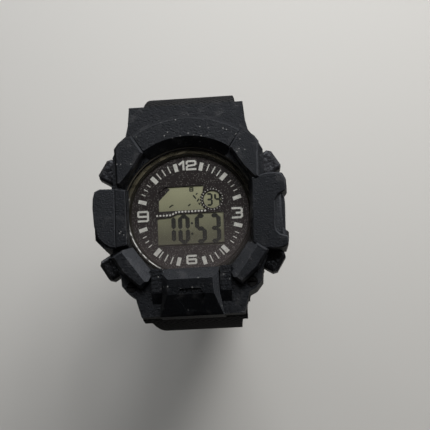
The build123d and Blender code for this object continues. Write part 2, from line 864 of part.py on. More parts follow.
def contact_blades():
    """The sprung contacts on the board's edge that the pushers touch."""
    blades = []
    for angle in pusher_angles().values():
        plane = ray_plane(angle, blade_distance, board_front + blade_rise / 2)
        blades.append(extrude(plane * Rectangle(blade_width, blade_rise), amount=blade_thickness))
    return blades


def battery():
    cell = slab(Pos(-battery_offset, 0) * Circle(battery_radius), battery_back, board_height)
    rim = cell.edges().filter_by(GeomType.CIRCLE).sort_by(Axis.Y)[-1]
    return chamfer(rim, fit_gap)


def battery_tray():
    low, high = battery_back - overrun, board_height + overrun
    body = slab(Circle(holder_radius), battery_back, board_height)
    body -= slab(Pos(-battery_offset, 0) * Circle(battery_radius + fit_gap), low, high)
    body -= slab(Pos(contact_spring_offset, 0) * Circle(contact_spring_radius + spring_wire), low, high)
    for x, z in clip_screw_places():
        body -= slab(Pos(x, z) * Circle(clip_screw_radius + pin_gap), low, high)
    return body


def clip_screw_places():
    return [(-battery_offset, clip_screw_offset), (-battery_offset, -clip_screw_offset)]


def battery_clip():
    plate = Pos(-battery_offset, 0) * Rectangle(clip_plate_width, clip_plate_length)
    body = slab(plate, clip_plate_back, battery_back)
    body = chamfer(body.edges().filter_by(Axis.Y), clip_plate_width / 4)
    for x, z in clip_screw_places():
        body -= slab(Pos(x, z) * Circle(clip_screw_radius + pin_gap), 0, battery_back + overrun)
    return body


def clip_screws():
    return [
        slotted_screw(x, z, clip_screw_head, clip_screw_radius, clip_plate_back,
                      clip_plate_back - clip_screw_rise, clip_plate_back + clip_screw_length)
        for x, z in clip_screw_places()
    ]


def buzzer_disc():
    disc = Pos(buzzer_offset, 0) * Circle(buzzer_radius)
    return slab(disc, back_thickness, back_thickness + buzzer_thickness)


def buzzer_spring():
    start = back_thickness + buzzer_thickness
    plane = Plane(origin=(contact_spring_offset, -start, 0), z_dir=(0, -1, 0))
    radius = contact_spring_radius - spring_wire / 2
    return coil(plane, radius, spring_wire, contact_spring_turns, board_height - start)


def back_gasket():
    half = gasket_section / 2 - pin_gap
    front = back_thickness + gasket_section - pin_gap
    return ring(gasket_radius + half, gasket_radius - half, back_thickness, front)


def crystal_gasket():
    return ring(crystal_radius + fit_gap, crystal_radius, crystal_seat, case_front)


# Strap


def spring_bar(side):
    body = bar_cylinder(bar_radius, side, horn_inner - fit_gap)
    return body + bar_cylinder(bar_tip_radius, side, horn_inner + horn_hole_depth - fit_gap)


def taper(half_width, taper_end):
    """A strap's outline from above, widest at the head."""
    far = case_corner_reach * 6
    near = bar_height + knuckle_radius
    half = [
        (half_width, -near),
        (half_width, 0),
        (end_half_width, taper_end),
        (end_half_width, far),
    ]
    points = half + [(-x, y) for x, y in reversed(half)]
    return extrude(Plane.XY * Polygon(*points, align=None), amount=far, both=True)


def strap(steps, root_half_width, half_width, taper_end):
    """A strap half at 12 o'clock: its knuckle, its thick root and its tapering band."""
    body = band(steps, -strap_thickness / 2, strap_thickness / 2, half_width) & taper(half_width, taper_end)
    y, z, heading = steps[0][:3]
    root_steps = trace((y, z), heading, [(root_length, 0)])
    root = band(root_steps, -root_thickness / 2, root_thickness / 2, root_half_width)
    far_end = Axis((0, y, z), (0, sin(radians(heading)), cos(radians(heading))))
    root = chamfer(root.faces().sort_by(far_end)[-1].edges(), root_chamfer)
    body += root
    body += bar_cylinder(knuckle_radius, 1, root_half_width)
    body -= both_sides(horn_slot())
    return body - bar_cylinder(bar_radius + pin_gap, 1, horn_inner)


def horn_slot():
    """Room for one lug in a strap's root, with a skin left in front, that lets the strap swing."""
    start = horn_inner - fit_gap
    width = horn_width + 2 * fit_gap
    room = knuckle_radius + 2 * travel_gap
    bar = Plane(origin=(start, -bar_height, bar_reach), x_dir=(0, 0, -1), z_dir=(1, 0, 0))
    front, rear = radians(slot_front_angle), radians(slot_rear_angle)
    front_corner = (room * cos(front), -room * sin(front))
    rear_corner = (room * cos(rear), room * sin(rear))
    wedge = Polygon((0, 0), front_corner, (room, -room), (room, room), rear_corner, align=None)
    slot = bar_cylinder(room, 1, width, start) & extrude(bar * wedge, amount=width)
    return slot + bar_cylinder(horn_radius + travel_gap, 1, width, start)


def across_plane(y, z, heading):
    """Lies on the strap's centre surface, with its second direction along the strap."""
    a = radians(heading)
    return Plane(origin=(0, y, z), x_dir=(1, 0, 0), z_dir=(0, -cos(a), sin(a)))


def pin_cylinder(radius, half_width):
    y, z = upper_steps[-1][:2]
    return extrude(Plane(origin=(0, y, z), z_dir=(1, 0, 0)) * Circle(radius), amount=half_width, both=True)


def upper_strap():
    body = strap(upper_steps, upper_root_half_width, upper_half_width, upper_taper_end)
    body += pin_cylinder(buckle_knuckle_radius, end_half_width)
    body -= pin_cylinder(buckle_pin_radius + pin_gap, end_half_width + overrun)
    plane = across_plane(*upper_steps[-1][:3])
    slot_half = tongue_width / 2 + travel_gap
    slot = Rectangle(2 * slot_half, 2 * tongue_slot_depth)
    return body - extrude(plane * slot, amount=2 * strap_thickness, both=True)


def lower_strap():
    body = strap(lower_steps, lower_root_half_width, lower_half_width, lower_taper_end)
    plane = across_plane(*lower_steps[-1][:3])
    reach = end_half_width
    corners = Rectangle(2 * reach + overrun, 2 * reach) - Pos(0, -reach) * Circle(reach)
    body -= extrude(plane * corners, amount=strap_thickness, both=True)
    total = route_length(lower_route)
    for index in range(strap_hole_count):
        y, z, heading = spot(lower_steps, total - first_hole - index * strap_hole_pitch)
        hole = Rot(0, 0, 90) * SlotCenterToCenter(strap_hole_stretch, 2 * strap_hole_radius)
        body -= extrude(across_plane(y, z, heading) * hole, amount=strap_thickness, both=True)
    return to_side(body, -1)


def keeper():
    """The loop that slides along the buckle half of the strap."""
    turn = degrees(keeper_width / upper_far_bend)
    y, z, heading = spot(upper_steps, keeper_place - keeper_width / 2)
    steps = trace((y, z), heading, [(upper_far_bend, turn)])
    near = -strap_thickness / 2 - travel_gap
    far = strap_thickness / 2 + keeper_room
    half = end_half_width + travel_gap
    outside = band(steps, near - keeper_wall, far + keeper_wall, half + keeper_wall)
    return outside - band(steps, near, far, half)


def buckle_frame():
    """The steel frame, open towards the strap, with its arms on the pin."""
    inner = end_half_width + fit_gap
    outer = inner + buckle_arm_width
    back = buckle_knuckle_radius + fit_gap
    length = buckle_reach + buckle_arm_width + back
    shape = Pos(0, length / 2 - back) * RectangleRounded(2 * outer, length, buckle_corner)
    opening = Pos(0, buckle_reach / 2 - back) * Rectangle(2 * inner, buckle_reach + 2 * back)
    plane = across_plane(*upper_steps[-1][:3])
    body = extrude(plane * (shape - opening), amount=buckle_thickness / 2, both=True)
    return body - pin_cylinder(buckle_pin_radius + pin_gap, outer + overrun)


def buckle_pin():
    return pin_cylinder(buckle_pin_radius, end_half_width + fit_gap + buckle_arm_width - pin_gap)


def buckle_tongue():
    """The prong, which turns on the pin and rests on the far bar of the frame."""
    plane = across_plane(*upper_steps[-1][:3])
    eye = pin_cylinder(buckle_knuckle_radius - pin_gap, tongue_width / 2)
    reach = buckle_reach + buckle_arm_width + tongue_overhang
    rise = buckle_thickness / 2 + pin_gap
    side_plane = Plane(origin=plane.origin, x_dir=plane.y_dir, z_dir=(1, 0, 0))
    edge = side_plane.y_dir.dot(plane.z_dir)
    points = [
        (0, rise - tongue_thickness + pin_gap),
        (0, rise + tongue_thickness / 2),
        (buckle_reach / 2, rise + tongue_thickness / 2),
        (reach - tongue_overhang / 2, rise + tongue_thickness / 2),
        (reach, rise),
        (buckle_reach - buckle_arm_width, rise),
        (buckle_reach / 2, rise - tongue_thickness / 2),
    ]
    blade = Polygon(*[(u, v * edge) for u, v in points], align=None)
    body = eye + extrude(side_plane * blade, amount=tongue_width / 2, both=True)
    return body - pin_cylinder(buckle_pin_radius + pin_gap, tongue_width)


def write(name, shapes):
    """Writes one node, which may be a group of separate solids."""
    solids = shapes if isinstance(shapes, list) else [shapes]
    shape = solids[0] if len(solids) == 1 else Compound(children=solids)
    export_step(shape, os.path.join("parts", name + ".step"))


os.makedirs("parts", exist_ok=True)
for make in (
    bezel, middle_case, crystal, crystal_gasket, case_back, back_screws, back_gasket, bezel_screws,
    dial_plate, dial_ring, lcd_glass, light_plate, zebra_strips, module_holder, circuit_board,
    chip_cover, quartz_can, contact_blades, battery, battery_tray, battery_clip, clip_screws,
    buzzer_disc, buzzer_spring, upper_strap, lower_strap, keeper, buckle_frame, buckle_pin, buckle_tongue,
):
    write(make.__name__, make())
write("upper_spring_bar", spring_bar(1))
write("lower_spring_bar", spring_bar(-1))
write("pusher_seals", [seal(angle) for angle in pusher_angles().values()])
write("return_springs", [return_spring(angle) for angle in pusher_angles().values()])
for place, angle in pusher_angles().items():
    write(place + "_pusher", pusher(angle))
    write(place + "_clip", retaining_clip(angle))
print("Upper strap length", round(route_length(upper_route), 1), "pin at", upper_steps[-1][:2])
print("Lower strap length", round(route_length(lower_route), 1), "tip at", lower_steps[-1][:2])
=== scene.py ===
import math

import bpy
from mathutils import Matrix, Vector


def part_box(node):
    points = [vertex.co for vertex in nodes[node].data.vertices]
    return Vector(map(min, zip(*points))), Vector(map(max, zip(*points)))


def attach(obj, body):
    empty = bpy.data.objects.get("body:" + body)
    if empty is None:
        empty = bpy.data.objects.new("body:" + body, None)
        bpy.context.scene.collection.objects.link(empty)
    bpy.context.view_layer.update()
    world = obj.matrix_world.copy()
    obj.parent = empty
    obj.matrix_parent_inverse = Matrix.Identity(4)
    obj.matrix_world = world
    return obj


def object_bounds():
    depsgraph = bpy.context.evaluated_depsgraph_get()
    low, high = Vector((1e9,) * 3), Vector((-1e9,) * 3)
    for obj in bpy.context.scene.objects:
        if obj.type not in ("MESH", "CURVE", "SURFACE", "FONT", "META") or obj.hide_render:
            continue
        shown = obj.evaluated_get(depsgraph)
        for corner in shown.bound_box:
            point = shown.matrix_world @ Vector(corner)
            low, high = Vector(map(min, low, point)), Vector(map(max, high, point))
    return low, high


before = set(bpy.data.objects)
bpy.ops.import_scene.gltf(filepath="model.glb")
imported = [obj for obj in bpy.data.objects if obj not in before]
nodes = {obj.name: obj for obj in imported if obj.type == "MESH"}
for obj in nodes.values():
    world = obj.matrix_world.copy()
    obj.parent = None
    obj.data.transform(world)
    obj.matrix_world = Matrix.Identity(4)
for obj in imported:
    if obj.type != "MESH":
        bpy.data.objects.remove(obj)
cadLow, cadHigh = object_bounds()
mm = 0.001
bpy.context.scene.view_settings.view_transform = "Standard"
print("Loaded", len(nodes), "nodes")


# Node helpers: patterns follow Object coordinates in metres, and most helpers return the socket that they end with


def emptyTree(owner, outputKind):
    owner.use_nodes = True
    tree = owner.node_tree
    tree.nodes.clear()
    return tree, tree.nodes.new(outputKind).inputs["Surface"]


def feed(tree, socket, value):
    if isinstance(value, bpy.types.NodeSocket):
        tree.links.new(value, socket)
    else:
        socket.default_value = value


def mathNode(tree, operation, first, second):
    node = tree.nodes.new("ShaderNodeMath")
    node.operation = operation
    feed(tree, node.inputs[0], first)
    feed(tree, node.inputs[1], second)
    return node.outputs[0]


def vectorNode(tree, operation, *vectors):
    node = tree.nodes.new("ShaderNodeVectorMath")
    node.operation = operation
    for socket, vector in zip(node.inputs, vectors):
        feed(tree, socket, vector)
    return node.outputs["Value" if operation in ("LENGTH", "DOT_PRODUCT") else "Vector"]


def splitAxes(tree, vector):
    split = tree.nodes.new("ShaderNodeSeparateXYZ")
    tree.links.new(vector, split.inputs[0])
    return split.outputs


def objectPattern(tree, stretch=(1, 1, 1)):
    coords = tree.nodes.new("ShaderNodeTexCoord")
    mapping = tree.nodes.new("ShaderNodeMapping")
    mapping.inputs["Scale"].default_value = stretch
    tree.links.new(coords.outputs["Object"], mapping.inputs["Vector"])
    return mapping.outputs["Vector"]


def noiseFrom(tree, vector, scale, detail=3.0):
    noise = tree.nodes.new("ShaderNodeTexNoise")
    noise.inputs["Scale"].default_value = scale
    noise.inputs["Detail"].default_value = detail
    tree.links.new(vector, noise.inputs["Vector"])
    return noise.outputs["Fac"]


def spread(tree, value, low, high, fromLow=0.3, fromHigh=0.7):
    ranged = tree.nodes.new("ShaderNodeMapRange")
    ranged.inputs["From Min"].default_value = fromLow
    ranged.inputs["From Max"].default_value = fromHigh
    ranged.inputs["To Min"].default_value = low
    ranged.inputs["To Max"].default_value = high
    tree.links.new(value, ranged.inputs["Value"])
    return ranged.outputs["Result"]


def blendColours(tree, factor, first, second):
    mix = tree.nodes.new("ShaderNodeMix")
    mix.data_type = "RGBA"
    tree.links.new(factor, mix.inputs["Factor"])
    for socket, colour in ((mix.inputs[6], first), (mix.inputs[7], second)):
        feed(tree, socket, (*colour, 1) if isinstance(colour, tuple) else colour)
    return mix.outputs[2]


def mixShaders(tree, share, first, second):
    mix = tree.nodes.new("ShaderNodeMixShader")
    for socket, source in zip(mix.inputs, (share, first, second)):
        tree.links.new(source, socket)
    return mix.outputs[0]


def diffuse(tree, colour):
    shader = tree.nodes.new("ShaderNodeBsdfDiffuse")
    feed(tree, shader.inputs["Color"], (*colour, 1) if isinstance(colour, tuple) else colour)
    return shader.outputs[0]


def background(tree, colour, strength):
    shader = tree.nodes.new("ShaderNodeBackground")
    shader.inputs["Color"].default_value = (*colour, 1)
    feed(tree, shader.inputs["Strength"], strength)
    return shader.outputs[0]


def bumpFrom(tree, shader, height, strength, distance):
    bump = tree.nodes.new("ShaderNodeBump")
    bump.inputs["Strength"].default_value = strength
    bump.inputs["Distance"].default_value = distance
    tree.links.new(height, bump.inputs["Height"])
    tree.links.new(bump.outputs["Normal"], shader.inputs["Normal"])


# Camera, set by the dial's marks, which lie on circles

cameraView = {
    "place": (0.0239, -0.2629, -0.0554),
    "turn": (102.126, 2.363, 4.419),    # degrees
    "lens": 83.37,
}


def addCamera():
    bpy.ops.object.camera_add(location=cameraView["place"])
    camera = bpy.context.object
    camera.rotation_euler = [math.radians(a) for a in cameraView["turn"]]
    camera.data.lens = cameraView["lens"]
    camera.data.clip_start = 0.01
    bpy.context.scene.camera = camera


# Studio: a pale sheet that the watch lies on, lamps and a pale room

studio = {
    "sheetGap": 0.014,
    "sheetSize": 4.0,
    "sheetColour": (0.56, 0.55, 0.53),
    "roomColour": (0.58, 0.58, 0.57),
    "roomSeen": 0.9,
    "roomLight": 0.62,
    "roomLightBelow": 0.06,
    "roomBrightens": (-0.6, 0.6),
    "mirroredColour": (0.56, 0.585, 0.64),
    "mirroredUp": {"way": (0.30, 0.0, 0.954), "turns": (0.27, 0.42), "strength": (0.0, 1.65)},
    "mirroredFront": {"way": (0.0, -1.0, 0.0), "turns": (-0.50, 0.15), "strength": (0.22, 1.0)},
    "sheetMirrored": 0.20,
    "lampAim": (0, -0.01, 0),
}
lamps = [
    {"name": "keyPanel", "at": (0.12, -0.25, 0.20), "size": (0.20, 0.14), "power": 1.15, "colour": (1.0, 0.99, 0.97)},
    {"name": "topPanel", "at": (0.00, -0.10, 0.28), "size": (0.30, 0.12), "power": 0.42, "colour": (0.95, 0.97, 1.0)},
    {"name": "leftPanel", "at": (-0.30, -0.18, 0.20), "size": (0.10, 0.20), "power": 0.08, "colour": (0.93, 0.96, 1.0)},
]


def addStudio():
    edge = cadHigh.y + studio["sheetGap"]
    bpy.ops.mesh.primitive_plane_add(size=studio["sheetSize"], location=(0, edge, 0), rotation=(math.pi / 2, 0, 0))
    sheet = bpy.context.object
    sheet.name = "studioSheet"
    mat = bpy.data.materials.new("paleSheet")
    tree, surface = emptyTree(mat, "ShaderNodeOutputMaterial")
    path = tree.nodes.new("ShaderNodeLightPath")
    dimmed = tuple(c * studio["sheetMirrored"] for c in studio["sheetColour"])
    front = diffuse(tree, blendColours(tree, path.outputs["Is Glossy Ray"], studio["sheetColour"], dimmed))
    behind = tree.nodes.new("ShaderNodeBsdfTransparent")
    side = tree.nodes.new("ShaderNodeNewGeometry")
    tree.links.new(mixShaders(tree, side.outputs["Backfacing"], front, behind.outputs[0]), surface)
    sheet.data.materials.append(mat)


def addRoom():
    world = bpy.data.worlds.new("paleRoom")
    bpy.context.scene.world = world
    tree, surface = emptyTree(world, "ShaderNodeOutputWorld")
    way = tree.nodes.new("ShaderNodeTexCoord").outputs["Generated"]
    height = splitAxes(tree, way)["Z"]
    fromAbove = spread(tree, height, studio["roomLightBelow"], studio["roomLight"], *studio["roomBrightens"])
    facings = [
        spread(tree, vectorNode(tree, "DOT_PRODUCT", way, part["way"]), *part["strength"], *part["turns"])
        for part in (studio["mirroredUp"], studio["mirroredFront"])
    ]
    seen = background(tree, studio["roomColour"], studio["roomSeen"])
    mirrored = background(tree, studio["mirroredColour"], mathNode(tree, "MULTIPLY", *facings))
    shade = background(tree, studio["roomColour"], fromAbove)
    path = tree.nodes.new("ShaderNodeLightPath")
    for kind, source in (("Is Glossy Ray", mirrored), ("Is Transmission Ray", seen), ("Is Camera Ray", seen)):
        shade = mixShaders(tree, path.outputs[kind], shade, source)
    tree.links.new(shade, surface)


def addLamps():
    aim = Vector(studio["lampAim"])
    for lamp in lamps:
        bpy.ops.object.light_add(type="AREA", location=lamp["at"])
        panel = bpy.context.object
        panel.name = lamp["name"]
        panel.data.shape = "RECTANGLE"
        panel.data.size, panel.data.size_y = lamp["size"]
        panel.data.energy = lamp["power"]
        panel.data.color = lamp["colour"]
        panel.visible_glossy = False
        panel.rotation_euler = (aim - Vector(lamp["at"])).to_track_quat("-Z", "Y").to_euler()


# Materials: each finish is a dictionary


def startMaterial(name, finish):
    mat = bpy.data.materials.new(name)
    mat.use_nodes = True
    tree = mat.node_tree
    shader = tree.nodes["Principled BSDF"]
    shader.inputs["Metallic"].default_value = finish.get("metal", 0.0)
    shader.inputs["Specular IOR Level"].default_value = finish.get("shine", 0.5)
    shader.inputs["Roughness"].default_value = finish["rough"][0]
    shader.inputs["Base Color"].default_value = (*finish["colour"], 1)
    return mat, tree, shader


usualRelief = 0.00005    # metres
grainDetail = 4.0
speckEdge = 0.6    # share of a speck's radius that is solid
speckChance = 0.01    # how fast a speck's chance goes from none to full


def dustOn(tree, vector, colour, dust):
    # a few pale specks, where a cell's random value is high and its middle is near
    cells = tree.nodes.new("ShaderNodeTexVoronoi")
    cells.inputs["Scale"].default_value = dust["scale"]
    tree.links.new(vector, cells.inputs["Vector"])
    near = spread(tree, cells.outputs["Distance"], 1.0, 0.0, dust["size"] * speckEdge, dust["size"])
    chosen = spread(tree, cells.outputs["Color"], 0.0, 1.0, dust["rare"], dust["rare"] + speckChance)
    return blendColours(tree, mathNode(tree, "MULTIPLY", near, chosen), colour, dust["colour"])


def seatOn(tree, vector, colour, seat):
    # a brownish tone inside the ring's radius, partly the seat's own colour and partly painted light, fading out
    # towards the lower edge as painted shade
    reach = vectorNode(tree, "LENGTH", objectPattern(tree, (1, 0, 1)))
    within = spread(tree, reach, 0.0, 1.0, *seat["within"])
    # painted shade: less of the tone towards the lower edge
    above = spread(tree, splitAxes(tree, vector)["Z"], seat["least"], 1.0, *seat["above"])
    return blendColours(tree, mathNode(tree, "MULTIPLY", within, above), colour, seat["colour"])


def plainFinish(name, finish):
    mat, tree, shader = startMaterial(name, finish)
    vector = objectPattern(tree, finish.get("stretch", (1, 1, 1)))
    cloud = noiseFrom(tree, vector, finish["patch"])
    colour = blendColours(tree, cloud, finish["colour"], finish["second"])
    if "scuff" in finish:
        scuff = finish["scuff"]
        worn = spread(tree, noiseFrom(tree, vector, scuff["scale"], scuff["detail"]), 0.0, 1.0, *scuff["from"])
        colour = blendColours(tree, worn, colour, scuff["colour"])
    if "dust" in finish:
        colour = dustOn(tree, vector, colour, finish["dust"])
    if "seat" in finish:
        colour = seatOn(tree, vector, colour, finish["seat"])
    tree.links.new(colour, shader.inputs["Base Color"])
    grain = noiseFrom(tree, vector, finish["grain"], grainDetail)
    tree.links.new(spread(tree, grain, *finish["rough"]), shader.inputs["Roughness"])
    bumpFrom(tree, shader, grain, finish["bump"], finish.get("relief", usualRelief))
    return mat


bezelScuff = {"scale": 330.0, "detail": 8.0, "from": (0.56, 0.72), "colour": (0.020, 0.020, 0.021)}
bezelDust = {"scale": 900.0, "size": 0.20, "rare": 0.76, "colour": (0.16, 0.16, 0.155)}
dialDust = {"scale": 2400.0, "size": 0.36, "rare": 0.58, "colour": (0.13, 0.12, 0.12)}
# the seat's brown is partly painted light, and fades towards the lower edge as painted shade
seatTone = {
    "within": (17.75 * mm, 17.60 * mm), "above": (2.0 * mm, 9.0 * mm), "least": 0.12, "colour": (0.078, 0.068, 0.047),
}
finishes = {
    "bezelResin": {"colour": (0.0016, 0.0019, 0.0025), "second": (0.0062, 0.0068, 0.0082), "patch": 1900.0,
                   "grain": 2700.0, "rough": (0.24, 0.42), "bump": 1.0, "relief": 0.00009, "shine": 0.80,
                   "dust": bezelDust, "scuff": bezelScuff},
    "caseResin": {"colour": (0.003, 0.003, 0.0032), "second": (0.006, 0.006, 0.0064), "patch": 200.0, "grain": 3600.0,
                  "rough": (0.5, 0.66), "bump": 0.3, "shine": 0.5, "seat": seatTone},
    "pusherPlastic": {"colour": (0.006, 0.006, 0.007), "second": (0.024, 0.024, 0.027), "patch": 900.0, "grain": 900.0,
                      "rough": (0.12, 0.30), "bump": 0.9, "shine": 1.0, "relief": 0.0002},
    "dialPaint": {"colour": (0.008, 0.006, 0.0065), "second": (0.025, 0.019, 0.020), "patch": 1500.0, "grain": 5200.0,
                  "rough": (0.45, 0.6), "bump": 0.04, "dust": dialDust},
    "ringPlastic": {"colour": (0.010, 0.009, 0.007), "second": (0.020, 0.018, 0.013), "patch": 300.0, "grain": 3000.0,
                    "rough": (0.4, 0.5), "bump": 0.1, "shine": 0.3},
    "printWhite": {"colour": (0.32, 0.31, 0.31), "second": (0.80, 0.79, 0.79), "patch": 2200.0, "grain": 5000.0,
                   "rough": (0.5, 0.6), "bump": 0.1},
    "inkBlack": {"colour": (0.010, 0.011, 0.010), "second": (0.016, 0.017, 0.014), "patch": 600.0, "grain": 5000.0,
                 "rough": (0.4, 0.5), "bump": 0.05},
    "screwSteel": {"colour": (0.030, 0.028, 0.026), "second": (0.075, 0.070, 0.064), "patch": 900.0, "grain": 2400.0,
                   "rough": (0.32, 0.5), "bump": 0.3, "metal": 1.0},
    "springSteel": {"colour": (0.48, 0.48, 0.47), "second": (0.60, 0.60, 0.59), "patch": 400.0, "grain": 3000.0,
                    "rough": (0.22, 0.34), "bump": 0.1, "metal": 1.0, "stretch": (0.15, 1, 1)},
    "buckleSteel": {"colour": (0.52, 0.52, 0.51), "second": (0.66, 0.66, 0.65), "patch": 500.0, "grain": 2600.0,
                    "rough": (0.24, 0.38), "bump": 0.15, "metal": 1.0, "stretch": (0.08, 1, 1)},
    "cellSteel": {"colour": (0.60, 0.60, 0.60), "second": (0.70, 0.70, 0.70), "patch": 300.0, "grain": 2000.0,
                  "rough": (0.2, 0.3), "bump": 0.1, "metal": 1.0},
    "brassSheet": {"colour": (0.62, 0.45, 0.20), "second": (0.72, 0.55, 0.28), "patch": 300.0, "grain": 2000.0,
                   "rough": (0.25, 0.4), "bump": 0.1, "metal": 1.0},
    "whiteMoulding": {"colour": (0.62, 0.62, 0.59), "second": (0.72, 0.72, 0.69), "patch": 250.0, "grain": 2500.0,
                      "rough": (0.4, 0.55), "bump": 0.1},
    "lightGuide": {"colour": (0.66, 0.70, 0.62), "second": (0.74, 0.78, 0.70), "patch": 250.0, "grain": 2500.0,
                   "rough": (0.15, 0.25), "bump": 0.05},
    "boardLacquer": {"colour": (0.02, 0.14, 0.06), "second": (0.03, 0.20, 0.08), "patch": 900.0, "grain": 3000.0,
                     "rough": (0.3, 0.42), "bump": 0.15},
    "blackEpoxy": {"colour": (0.008, 0.008, 0.008), "second": (0.014, 0.014, 0.014), "patch": 500.0, "grain": 2000.0,
                   "rough": (0.2, 0.3), "bump": 0.1},
    "gasketRubber": {"colour": (0.010, 0.010, 0.010), "second": (0.018, 0.018, 0.018), "patch": 700.0, "grain": 4000.0,
                     "rough": (0.6, 0.75), "bump": 0.2},
    "layeredRubber": {"colour": (0.30, 0.28, 0.27), "second": (0.42, 0.40, 0.38), "patch": 3000.0, "grain": 4000.0,
                      "rough": (0.5, 0.6), "bump": 0.2, "stretch": (1, 1, 0.05)},
}

nodeFinishes = {
    "bezel": "bezelResin", "middle_case": "caseResin", "bezel_screws": "screwSteel", "dial_plate": "dialPaint",
    "dial_ring": "ringPlastic", "crystal_gasket": "gasketRubber", "back_gasket": "gasketRubber",
    "pusher_seals": "gasketRubber", "back_screws": "springSteel", "light_plate": "lightGuide",
    "zebra_strips": "layeredRubber", "module_holder": "whiteMoulding", "battery_tray": "whiteMoulding",
    "circuit_board": "boardLacquer", "chip_cover": "blackEpoxy", "quartz_can": "springSteel",
    "contact_blades": "springSteel", "battery": "cellSteel", "battery_clip": "springSteel",
    "clip_screws": "springSteel", "buzzer_disc": "brassSheet", "buzzer_spring": "springSteel",
    "return_springs": "springSteel", "upper_spring_bar": "springSteel", "lower_spring_bar": "springSteel",
    "buckle_frame": "buckleSteel", "buckle_pin": "springSteel", "buckle_tongue": "buckleSteel",
}
for corner in ("upper_right", "upper_left", "lower_left", "lower_right"):
    nodeFinishes[corner + "_pusher"] = "pusherPlastic"
    nodeFinishes[corner + "_clip"] = "springSteel"


def dress(nodeName, mat):
    piece = nodes[nodeName]
    piece.data.materials.clear()
    piece.data.materials.append(mat)


# Strap resin with a woven pattern of small rhombs, measured along the strap's bend; the raised lines are coloured
# lighter, partly the weave's own tone and partly a painted highlight

strapFinish = {
    "colour": (0.0030, 0.0030, 0.0034), "second": (0.036, 0.036, 0.037), "patch": 160.0, "grain": 3600.0,
    "rough": (0.45, 0.62), "shine": 0.10, "pitch": 1.7 * mm, "relief": 0.0003, "bump": 0.9,
    "ridgeToneAndHighlight": (0, 1, 0.30, 0.46), "cloudTone": (0.45, 1.0), "grainHeight": 0.15,
}
strapBends = {
    "upper_strap": {"middle": (14.2 * mm, 11.0 * mm), "radius": 26.0 * mm},
    "keeper": {"middle": (14.2 * mm, 11.0 * mm), "radius": 26.0 * mm},
    "lower_strap": {"middle": (33.6 * mm, 17.1 * mm), "radius": 40.0 * mm},
}


def wovenStrap(name, bend):
    f = strapFinish
    mat, tree, shader = startMaterial(name, f)
    vector = objectPattern(tree)
    axes = splitAxes(tree, vector)
    y = mathNode(tree, "SUBTRACT", axes["Y"], bend["middle"][0])
    z = mathNode(tree, "SUBTRACT", axes["Z"], bend["middle"][1])
    turn = mathNode(tree, "ARCTAN2", y, z)
    across = mathNode(tree, "DIVIDE", axes["X"], f["pitch"])
    along = mathNode(tree, "MULTIPLY", turn, bend["radius"] / f["pitch"])
    slopes = [
        mathNode(tree, "PINGPONG", mathNode(tree, operation, across, along), 0.5) for operation in ("ADD", "SUBTRACT")
    ]
    rhomb = mathNode(tree, "MAXIMUM", *slopes)
    cloud = noiseFrom(tree, vector, f["patch"])
    # the raised lines are lighter: partly the weave's tone, partly a painted highlight
    weaveAndHighlight = mathNode(tree, "MULTIPLY", spread(tree, rhomb, *f["ridgeToneAndHighlight"]), spread(tree, cloud, *f["cloudTone"]))
    tree.links.new(blendColours(tree, weaveAndHighlight, f["colour"], f["second"]), shader.inputs["Base Color"])
    grain = noiseFrom(tree, vector, f["grain"])
    tree.links.new(spread(tree, grain, *f["rough"]), shader.inputs["Roughness"])
    height = mathNode(tree, "ADD", rhomb, mathNode(tree, "MULTIPLY", grain, f["grainHeight"]))
    bumpFrom(tree, shader, height, f["bump"], f["relief"])
    return mat


# Crystal, clear to lamps so that the dial under it is lit

crystalFinish = {
    "colour": (0.97, 0.975, 0.96), "rough": 0.03, "ior": 1.2, "smear": 300.0, "smearShare": (0.93, 1.0),
    # the pale rim line is partly dust and partly a painted highlight, strongest towards 8 o'clock
    "rimStart": (16.44 * mm, 16.52 * mm), "rimEnd": (16.76 * mm, 16.68 * mm), "rimDustAndGlint": (0.60, 0.60, 0.58),
    "rimMiddle": (0.35 * mm, 0, 0), "rimGrain": 900.0, "rimBroken": (0.15, 1.0, 0.40, 0.52),
    "haze": (0.52, 0.45, 0.45), "hazeShare": (0.002, 0.038), "hazeFrom": (2.0 * mm, -13.0 * mm),
    "dustAndGlintWay": (-0.91, 0, -0.41), "dustAndGlintSpan": (0.74, 0.88),
}


def clearCrystal():
    f = crystalFinish
    mat = bpy.data.materials.new("clearAcrylic")
    tree, surface = emptyTree(mat, "ShaderNodeOutputMaterial")
    clear = tree.nodes.new("ShaderNodeBsdfTransparent")
    clear.inputs["Color"].default_value = (*f["colour"], 1)
    gloss = tree.nodes.new("ShaderNodeBsdfGlossy")
    gloss.inputs["Roughness"].default_value = f["rough"]
    fresnel = tree.nodes.new("ShaderNodeFresnel")
    fresnel.inputs["IOR"].default_value = f["ior"]
    smear = spread(tree, noiseFrom(tree, objectPattern(tree), f["smear"]), *f["smearShare"])
    share = mathNode(tree, "MULTIPLY", fresnel.outputs[0], smear)
    glass = mixShaders(tree, share, clear.outputs[0], gloss.outputs[0])
    tree.links.new(rimDustAndGlint(tree, lowerHaze(tree, glass)), surface)
    return mat


def lowerHaze(tree, under):
    # a faint film of dust, thicker towards the lower edge
    height = splitAxes(tree, objectPattern(tree))["Z"]
    share = spread(tree, height, *crystalFinish["hazeShare"], *crystalFinish["hazeFrom"])
    return mixShaders(tree, share, under, diffuse(tree, crystalFinish["haze"]))


